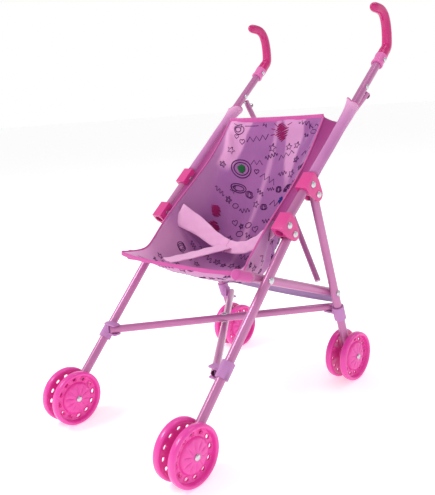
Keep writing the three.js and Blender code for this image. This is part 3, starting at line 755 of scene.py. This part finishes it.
def wrinkle(u, v):
    """Soft folds that fan out from the top corners and the lower brackets, in mm."""
    fold = 0.0
    for cu, cv, count, size in FOLD_SOURCES:
        du, dv = u - cu, (v - cv) * 3.2
        distance = math.hypot(du, dv)
        fade = math.exp(-(distance / 0.75) ** 2) * min(1.0, distance / 0.25)
        fold += size * fade * math.sin(math.atan2(dv, du) * count * 1.3 + cu)
    fold += (2.6 * noise.noise(Vector((u * 1.7, v * 5.0, 0.3)))
             + 1.2 * noise.noise(Vector((u * 5.0, v * 14.0, 2.1))))
    crease = abs(u - 0.30 - 0.25 * (v - 0.05))
    fold += 2.6 * max(0.0, 1 - crease / 0.22) * max(0.0, 1 - v / 0.30)
    slack = min(1.0, (1 - abs(u)) / 0.12) * min(1.0, v / 0.03) * min(1.0, (1 - v) / 0.03)
    return fold * slack


def seat_point(u, v):
    """A point of the seat without its folds. u runs from -1 on the right to 1 on the left."""
    ey, ez, my, mz, half, power = row_value(v)
    hollow = 1 - abs(u) ** power
    y = ey + (my - ey) * hollow
    z = ez + (mz - ez) * hollow
    y += FRONT_SHEAR * u * max(0.0, (v - 0.8) / 0.2) ** 2
    z -= 6.0 * u * max(0.0, (v - 0.85) / 0.15) ** 2
    return side(half * u, y, z)


def seat_surface(u, v, lift=0.0):
    """A point of the folded cloth. lift is a distance in mm off it, towards the sitter."""
    step = 0.004
    here = seat_point(u, v)
    normal = (seat_point(u + step, v) - seat_point(u - step, v)).cross(
        seat_point(u, v + step) - seat_point(u, v - step))
    if normal.length > 0:
        normal.normalize()
    if normal.z - 0.4 * normal.y < 0:
        normal = -normal
    return here + normal * (wrinkle(u, v) + lift) * MM


def soft_step(value, width=0.05):
    """0 below zero, 1 above it, with a soft edge."""
    t = min(1.0, max(0.0, value / width + 0.5))
    return t * t * (3 - 2 * t)


def painted_light(u, v):
    """Painted light: how much paler the cloth is painted where light falls on it, from 0 to 1."""
    wobble = 0.06 * noise.noise(Vector((u * 3, v * 9, 5.0)))
    # Painted sunlight on the seat's lower front, and a lighter far wall.
    front = 0.7 * soft_step(v - 0.60 + wobble, 0.2) + 0.3 * soft_step(v - 0.88 + wobble, 0.2)
    sunlit_far_wall = 0.35 * soft_step(-u - 0.86, 0.2)
    # Painted highlights near the top: a lit patch beside the crease, a lit patch at one side, and a light streak.
    fold = (soft_step(u - 0.22 - 0.9 * v + wobble) * soft_step(0.66 - 0.5 * v - u + wobble)
            * soft_step(0.24 - v + wobble, 0.1))
    patch = (soft_step(u + 0.95 - 0.2 * v + wobble) * soft_step(-0.42 - 1.6 * v - u + wobble)
             * soft_step(0.2 - v))
    light_streak = 0.5 * soft_step(0.04 - abs(u + 0.1 + 0.7 * (v - 0.3)) + wobble, 0.06) * soft_step(0.5 - v, 0.2)
    return min(1.0, 0.7 * front + sunlit_far_wall + 0.7 * fold + 0.75 * patch + light_streak)


def seat_cloth():
    columns, rows = 73, 145
    us = [math.sin(math.pi / 2 * (2 * c / (columns - 1) - 1)) for c in range(columns)]
    us = [0.6 * u + 0.4 * (2 * c / (columns - 1) - 1) for c, u in enumerate(us)]
    grid = [[seat_surface(u, r / (rows - 1)) for u in us] for r in range(rows)]
    # Painted light on the seat: paler where light falls on the cloth.
    painted_light_amount = [painted_light(u, r / (rows - 1)) for r in range(rows) for u in us]
    cloth = thick_sheet("seat_hammock", grid, CLOTH * MM, "seat", painted_light_amount=painted_light_amount)
    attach(cloth, "left_side")
    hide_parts("seat_back", "seat_pan", "seat_wing_left", "seat_wing_right")
    lengths = sum((grid[r + 1][columns // 2] - grid[r][columns // 2]).length for r in range(rows - 1))
    widths = [sum((grid[r][c + 1] - grid[r][c]).length for c in range(columns - 1))
              for r in range(0, rows, 12)]
    area = sum((grid[r + 1][c] - grid[r][c]).cross(grid[r][c + 1] - grid[r][c]).length
               for r in range(rows - 1) for c in range(columns - 1))
    return cloth, (max(widths), lengths), area


# ---------------- seat's bound edges
def bindings():
    trims = []
    for which, s in SIDES:
        edge = [seat_point(s, k / 60) for k in range(61)]
        edge = [p + Vector((s * 0.4 * MM, 0, 0.6 * MM)) for p in edge]
        trims.append(pipe(f"seat_piping_{which}", edge, 1.25 * MM, "binding"))
    hem = [seat_surface(-1 + 2 * k / 60, 0.0) for k in range(61)]

    def flat(i, share):
        return [(a * 0.8, b * 2.6) for a, b in circle(1.6 * MM, 14)]
    trims.append(sweep("seat_top_hem", hem, flat, "binding"))
    front = [seat_surface(-1 + 2 * k / 60, 1.0) + Vector((0, -0.8 * MM, -2.0 * MM)) for k in range(61)]

    def band(i, share):
        wave = 1 + 0.12 * math.sin(share * 37)
        return [(b * 0.9, a * 2.4 * wave) for a, b in circle(1.2 * MM, 14)]
    trims.append(sweep("seat_front_hem", front, band, "binding"))
    for trim in trims:
        added(trim, "left_side")
        fold_with(trim)
    return trims


def side_flaps():
    """The strips of cloth between the bound edges and the sleeves on the handle tubes, in a darker colour that is
    painted shade.
    """
    flaps = []
    for which, s in SIDES:
        grid = []
        for k in range(31):
            v = 0.5 * k / 30
            inner = seat_point(s, v)
            distance = (inner - handle_low).dot(handle_way) / MM
            outer = on_handle(max(distance, 10), s * SIDE_X)
            row = []
            for c in range(9):
                t = c / 8
                p = inner.lerp(outer + Vector((-s * 6.6 * MM, 0, 1.5 * MM)), t)
                sag = math.sin(math.pi * t) * (2.2 + 0.8 * math.sin(9 * v * 3))
                row.append(p + Vector((0, 0.6, -0.8)).normalized() * sag * MM)
            grid.append(row)
        flap = thick_sheet(f"side_strip_{which}", grid, CLOTH * MM, "shaded_strip")
        added(flap, "left_side")
        fold_with(flap)
        flaps.append(flap)
    return flaps


def sleeves():
    """Loose sleeves that hold the seat to the handle tubes: wide and slanted at the mouth."""
    made = []
    steps, turns = 28, 32
    across = Vector((1, 0, 0))
    square = handle_way.cross(across).normalized()
    for which, s in SIDES:
        grid = []
        for k in range(steps + 1):
            share = k / steps
            row = []
            for c in range(turns + 1):
                turn = 2 * math.pi * c / turns
                inward = max(0.0, -s * math.cos(turn))
                top = SLEEVE_TO - 10 * (1 - inward)
                distance = SLEEVE_FROM + (top - SLEEVE_FROM) * share
                swell = 0.35 + 1.3 * share ** 4 + 5.5 * share ** 6 * inward
                ripple = 0.45 * math.sin(turn * 3 + share * 14) * (0.2 + share ** 3)
                r = TUBE_D / 2 + 0.5 + swell + ripple
                row.append(on_handle(distance, s * SIDE_X) + across * math.cos(turn) * r * MM
                           + square * math.sin(turn) * r * MM)
            grid.append(row)
        # Painted highlight: the sleeve's cloth turns paler towards its wide mouth.
        painted_light_amount = [(r / steps) ** 5 for r in range(steps + 1) for _ in range(turns + 1)]
        sleeve = thick_sheet(f"tube_sleeve_{which}_cloth", grid, CLOTH * MM, "sleeve", painted_light_amount=painted_light_amount)
        stands_for(sleeve, f"tube_sleeve_{which}")
        seam = pipe(f"sleeve_mouth_{which}", grid[-1], 0.8 * MM, "binding", sides=8)
        added(seam, f"{which}_side")
        made.append((sleeve, seam))
    return made


# ---------------- straps
def strap_between(name, points, width, twist=None, flare=0.0):
    """A flat strap along points, and its grid and width. twist(share) leans it, in radians, and
    flare widens its start."""
    path = smooth_path(points, 10)
    rows = []
    for i, p in enumerate(path):
        way = (path[min(i + 1, len(path) - 1)] - path[max(i - 1, 0)]).normalized()
        flat = way.cross(Vector((0, -0.35, 1))).normalized()
        up = flat.cross(way).normalized()
        lean = twist(i / (len(path) - 1)) if twist else 0.0
        across = flat * math.cos(lean) + up * math.sin(lean)
        wide = width * (1 + flare * (1 - i / (len(path) - 1)) ** 2) * MM
        crease = 0.7 * math.sin(i * 0.9) * MM
        rows.append([p + across * wide * (c / 8 - 0.5) + up * crease * math.sin(c * 1.1) for c in range(9)])
    return thick_sheet(name, rows, STRAP_THICK * MM, "strap"), rows, width


def stitches(name, rows, column):
    """A line of short stitches along one column of a strap's grid."""
    parts = []
    for i in range(1, len(rows) - 2, 2):
        a = rows[i][column]
        b = rows[i][column].lerp(rows[i + 1][column], 0.75)
        parts.append(pipe(f"{name}_{i}", [a, a.lerp(b, 0.5), b], 0.45 * MM, "thread", sides=6))
    return joined(name, parts)


def straps():
    middle = side(2, 212, 226)
    right = strap_between("lap_belt_right", [side(-93, 208, 268), side(-58, 216, 250),
                                             side(-28, 215, 235), middle], 21,
                          twist=lambda t: 2.25 + 0.3 * t, flare=0.7)
    left = strap_between("lap_belt_left", [middle, side(34, 210, 228), side(68, 206, 242),
                                           side(96, 204, 262)], 19, twist=lambda t: 2.55 - 0.3 * t)
    crotch = strap_between("crotch_strap", [middle, side(-8, 180, 224), side(-18, 148, 222),
                                            side(-26, 118, 222)], 24)
    for label, (_, rows, _) in (("lap_right", right), ("lap_left", left), ("crotch", crotch)):
        for column in (1, 7):
            seam = stitches(f"{label}_stitches_{column}", rows, column)
            added(seam, "left_side")
            fold_with(seam)
    for strap, _, _ in (right, left, crotch):
        added(strap, "left_side")
    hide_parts("restraint_strap")
    for strap, rows, width in (right, left, crotch):
        fold_with(strap)


def rear_strap():
    low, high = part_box("rear_strap")
    z = (low[2] + high[2]) / 2 / MM
    y = ((low[1] + high[1]) / 2 - ORIGIN_Y) / MM
    reach = REAR_STRAP_REACH
    points = [side(x, y + 1.5 * math.cos(x / 70) - abs(x) * 0.05,
                   z - 5 * math.cos(math.pi * x / (2 * reach)))
              for x in (-reach, -70, -25, 25, 70, reach)]
    path = smooth_path(points, 8)
    rows = [[p + Vector((0, 0, 1)) * MM * (REAR_STRAP_WIDE * (c / 8 - 0.5))
             + Vector((0, 0.8 * MM * math.sin(c), 0)) for c in range(9)] for p in path]
    strap = thick_sheet("rear_strap_cloth", rows, 1.2 * MM, "lavender")
    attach(strap, "left_side")
    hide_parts("rear_strap")
    fold_with(strap)


# ---------------- print on the seat
def loop_line(turns, size, squash=0.7):
    return [(size * (0.45 * t + math.cos(2 * math.pi * t)) - size * 0.22 * turns,
             size * squash * math.sin(2 * math.pi * t)) for t in np.linspace(0, turns, int(16 * turns))]


def wave_line(bumps, size):
    return [(size * (t - 0.5) * bumps * 0.9, size * 0.45 * math.sin(2 * math.pi * t * bumps))
            for t in np.linspace(0, 1, 10 * bumps)]


def heart(size):
    return [(size * 0.06 * 16 * math.sin(a) ** 3, size * 0.06 * (13 * math.cos(a) - 5 * math.cos(2 * a)
            - 2 * math.cos(3 * a) - math.cos(4 * a))) for a in np.linspace(0, 2 * math.pi, 30)]


def star(size):
    return [(size * (1.0 if k % 2 == 0 else 0.42) * math.sin(math.pi * k / 5),
             size * (1.0 if k % 2 == 0 else 0.42) * math.cos(math.pi * k / 5)) for k in range(11)]


def zigzag(turns, size):
    return [(size * (0.7 * k - 0.35 * turns) + 0.001 * k, size * (0.5 if k % 2 else -0.5))
            for k in range(turns + 1)]


def cloud(size):
    """A rounded outline with bumps."""
    outline = []
    for a in np.linspace(0, 2 * math.pi, 44):
        bump = 1 + 0.16 * abs(math.sin(3.5 * a))
        outline.append((size * bump * math.cos(a), 0.7 * size * bump * math.sin(a)))
    return outline


def oval(wide, high):
    return [(wide * math.cos(a), high * math.sin(a)) for a in np.linspace(0, 2 * math.pi, 30)]


def flower(size):
    outline = []
    for a in np.linspace(0, 2 * math.pi, 50):
        reach = size * (0.65 + 0.35 * math.cos(5 * a))
        outline.append((reach * math.cos(a), reach * math.sin(a)))
    return outline


def scribble(wide, high, passes, draw):
    """A patch filled by a pen that goes to and fro."""
    line = []
    for k in range(passes):
        y = high * (1 - 2 * k / (passes - 1))
        reach = wide * math.sqrt(max(0.1, 1 - (y / high) ** 2)) * draw.uniform(0.8, 1.1)
        line.append((reach * (1 if k % 2 else -1), y + draw.uniform(-0.6, 0.6)))
    return [p[:] for p in smooth_path([Vector((x, y, 0)) for x, y in line], 4)]


def per_u(u, v):
    """How many mm of cloth one unit of u covers there."""
    return (seat_point(min(u + 0.03, 1), v) - seat_point(max(u - 0.03, -1), v)).length / MM / 0.06


def stroke(name, line, u0, v0, turn, half_width, look):
    """Lays a pen line on the seat round the point (u0, v0), as a thin raised ribbon."""
    half = per_u(u0, v0)
    per_v = (seat_point(0, min(v0 + 0.02, 1)) - seat_point(0, max(v0 - 0.02, 0))).length / MM / 0.04
    points = []
    for p in line:
        x = p[0] * math.cos(turn) - p[1] * math.sin(turn)
        y = p[0] * math.sin(turn) + p[1] * math.cos(turn)
        u = u0 + x / half
        v = v0 - y / per_v
        if abs(u) < 0.97 and 0.015 < v < 0.985:
            points.append((u, v))
    if len(points) < 4:
        return None
    verts, faces = [], []
    for i, (u, v) in enumerate(points):
        au, av = points[max(i - 1, 0)]
        bu, bv = points[min(i + 1, len(points) - 1)]
        du, dv = (bu - au) * half, (bv - av) * per_v
        length = math.hypot(du, dv) or 1.0
        su, sv = -dv / length * half_width / half, du / length * half_width / per_v
        for lift in (0.75, -0.75):
            verts.append(seat_surface(u + su, v + sv, lift))
            verts.append(seat_surface(u - su, v - sv, lift))
    for i in range(len(points) - 1):
        a = 4 * i
        for quad in ((0, 1, 5, 4), (1, 3, 7, 5), (3, 2, 6, 7), (2, 0, 4, 6)):
            faces.append(tuple(a + q for q in quad))
    last = 4 * (len(points) - 1)
    faces.append((0, 2, 3, 1))
    faces.append((last, last + 1, last + 3, last + 2))
    return piece(name, verts, faces, look)


def printed_seat():
    """Pen doodles: loops, zigzags, waves, flowers, clouds, hearts, stars and scribbled patches."""
    draw = random.Random(7)
    marks = {"ink": [], "ink_pink": [], "ink_green": [], "ink_blue": []}

    def put(look, line, u, v, turn=0.0, width=0.55):
        made = stroke(f"{look}_{len(marks[look])}", line, u, v, turn, width, look)
        if made:
            marks[look].append(made)

    # Spots left free for the larger marks: u, v, half width and half height.
    kept_free = ((-0.53, 0.19, 0.2, 0.06), (0.2, 0.05, 0.18, 0.045), (-0.7, 0.38, 0.16, 0.05))
    rows, steps = 15, 200
    spine = [seat_point(0, k / steps) for k in range(steps + 1)]
    run = [0.0]
    for k in range(steps):
        run.append(run[-1] + (spine[k + 1] - spine[k]).length)
    for r in range(rows):
        wanted = run[-1] * (0.025 + 0.95 * r / (rows - 1))
        v = sum(1 for length in run if length < wanted) / steps
        u = -0.9 + draw.uniform(0, 0.1)
        while u < 0.9:
            size = draw.uniform(5.5, 8.0)
            line = (loop_line(draw.randint(2, 3), size * 0.8, 1.0), zigzag(draw.randint(4, 7), size * 1.1),
                    wave_line(3, size * 0.9), flower(size * 0.8), cloud(size * 0.8), heart(size * 0.75),
                    star(size * 0.9), wave_line(4, size * 1.1))[draw.randrange(8)]
            reach = (max(p[0] for p in line) - min(p[0] for p in line)) / max(per_u(u, v), 60)
            vv = v + draw.uniform(-0.016, 0.016)
            middle = u + reach / 2
            if not any(abs(middle - a) < w + reach / 4 and abs(vv - b) < h for a, b, w, h in kept_free):
                put("ink", line, middle, vv, draw.uniform(-0.5, 0.5), draw.uniform(0.42, 0.58))
            u += reach + 0.04
    # A round doodle with a green middle, and two ovals under it.
    for wide, high in ((18, 15), (13.5, 10.5)):
        put("ink", oval(wide, high), -0.53, 0.18, 0.2, 0.8)
    put("ink_green", scribble(8.5, 6.5, 13, draw), -0.53, 0.18, 0.0, 0.9)
    for wide, high in ((10, 4), (14, 7)):
        put("ink", oval(wide, high), -0.5, 0.245, 0.2, 0.7)
    # Two ovals by the hem.
    put("ink", oval(9, 8), -0.72, 0.05, 0.1, 0.6)
    put("ink", oval(5, 4.5), -0.74, 0.05, 0.1, 0.6)
    # Magenta scribbled patches: one with rays near the hem, and two lower down on the right.
    put("ink_pink", scribble(14, 14, 19, draw), 0.2, 0.05, 0.3, 0.7)
    for ray in range(7):
        lean = math.radians(20 + 26 * ray)
        line = [(r * math.cos(lean), r * math.sin(lean)) for r in (15, 17, 19, 21, 23)]
        put("ink_pink", line, 0.2, 0.05, 0.3, 0.6)
    put("ink_pink", scribble(10, 9, 17, draw), -0.72, 0.355, -0.2, 0.8)
    put("ink_pink", scribble(12, 10, 15, draw), -0.68, 0.41, 0.3, 0.8)
    # A blue patch and a dark loop, left of the middle.
    put("ink_blue", scribble(6, 5, 9, draw), 0.42, 0.27, 0.5, 0.8)
    put("ink", loop_line(3, 4), 0.5, 0.235, 0.8, 0.9)
    prints = []
    for look, strokes in marks.items():
        layer = joined(f"seat_{look}", strokes)
        added(layer, "left_side")
        fold_with(layer)
        prints.append(layer)
    return prints


def seat():
    cloth, flat, area = seat_cloth()
    trims = bindings() + side_flaps()
    prints = printed_seat()
    fold_with(cloth)
    for sleeve, seam in sleeves():
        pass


# ---------------- floor and lights
def stage():
    verts = [(40 * a, 40 * b, -0.0005) for a, b in ((-1, -1), (1, -1), (1, 1), (-1, 1))]
    floor = piece("floor", verts, [(0, 1, 2, 3)], "thread", smooth=False)
    floor.data.materials.clear()
    white = material("floor_white", "FFFFFF", "FBFBFB", rough=0.9, bump=0.0, specular=0.1)
    glow = white.node_tree.nodes["Principled BSDF"].inputs
    glow["Emission Color"].default_value = (1.0, 1.0, 1.0, 1.0)
    glow["Emission Strength"].default_value = 0.42
    floor.data.materials.append(white)
    world = bpy.data.worlds.new("studio")
    world.use_nodes = True
    nodes, links = world.node_tree.nodes, world.node_tree.links
    nodes["Background"].inputs["Color"].default_value = (1.0, 1.0, 1.0, 1.0)
    place, split = nodes.new("ShaderNodeTexCoord"), nodes.new("ShaderNodeSeparateXYZ")
    ramp = nodes.new("ShaderNodeMapRange")
    ramp.inputs["From Min"].default_value = 0.22
    ramp.inputs["From Max"].default_value = 0.4
    ramp.inputs["To Min"].default_value = 1.0
    ramp.inputs["To Max"].default_value = 0.5
    links.new(place.outputs["Generated"], split.inputs["Vector"])
    links.new(split.outputs["Z"], ramp.inputs["Value"])
    links.new(ramp.outputs["Result"], nodes["Background"].inputs["Strength"])
    bpy.context.scene.world = world
    middle = (Vector(cad_low) + Vector(cad_high)) / 2
    for name, offset, size, power in (("key", (-1.0, -1.3, 1.7), 0.8, 24),
                                      ("fill", (1.5, -1.2, 0.9), 1.4, 3),
                                      ("top", (0.3, 0.9, 2.0), 1.2, 8)):
        data = bpy.data.lights.new(name, "AREA")
        data.energy = power
        data.size = size
        obj = bpy.data.objects.new(name, data)
        bpy.context.scene.collection.objects.link(obj)
        obj.location = middle + Vector(offset)
        obj.rotation_euler = (middle - obj.location).to_track_quat("-Z", "Y").to_euler()
    bpy.context.scene.view_settings.view_transform = "Standard"


camera()
stage()
frame_tubes()
rivets()
plastic_fittings()
wheels()
grips()
seat()
straps()
rear_strap()
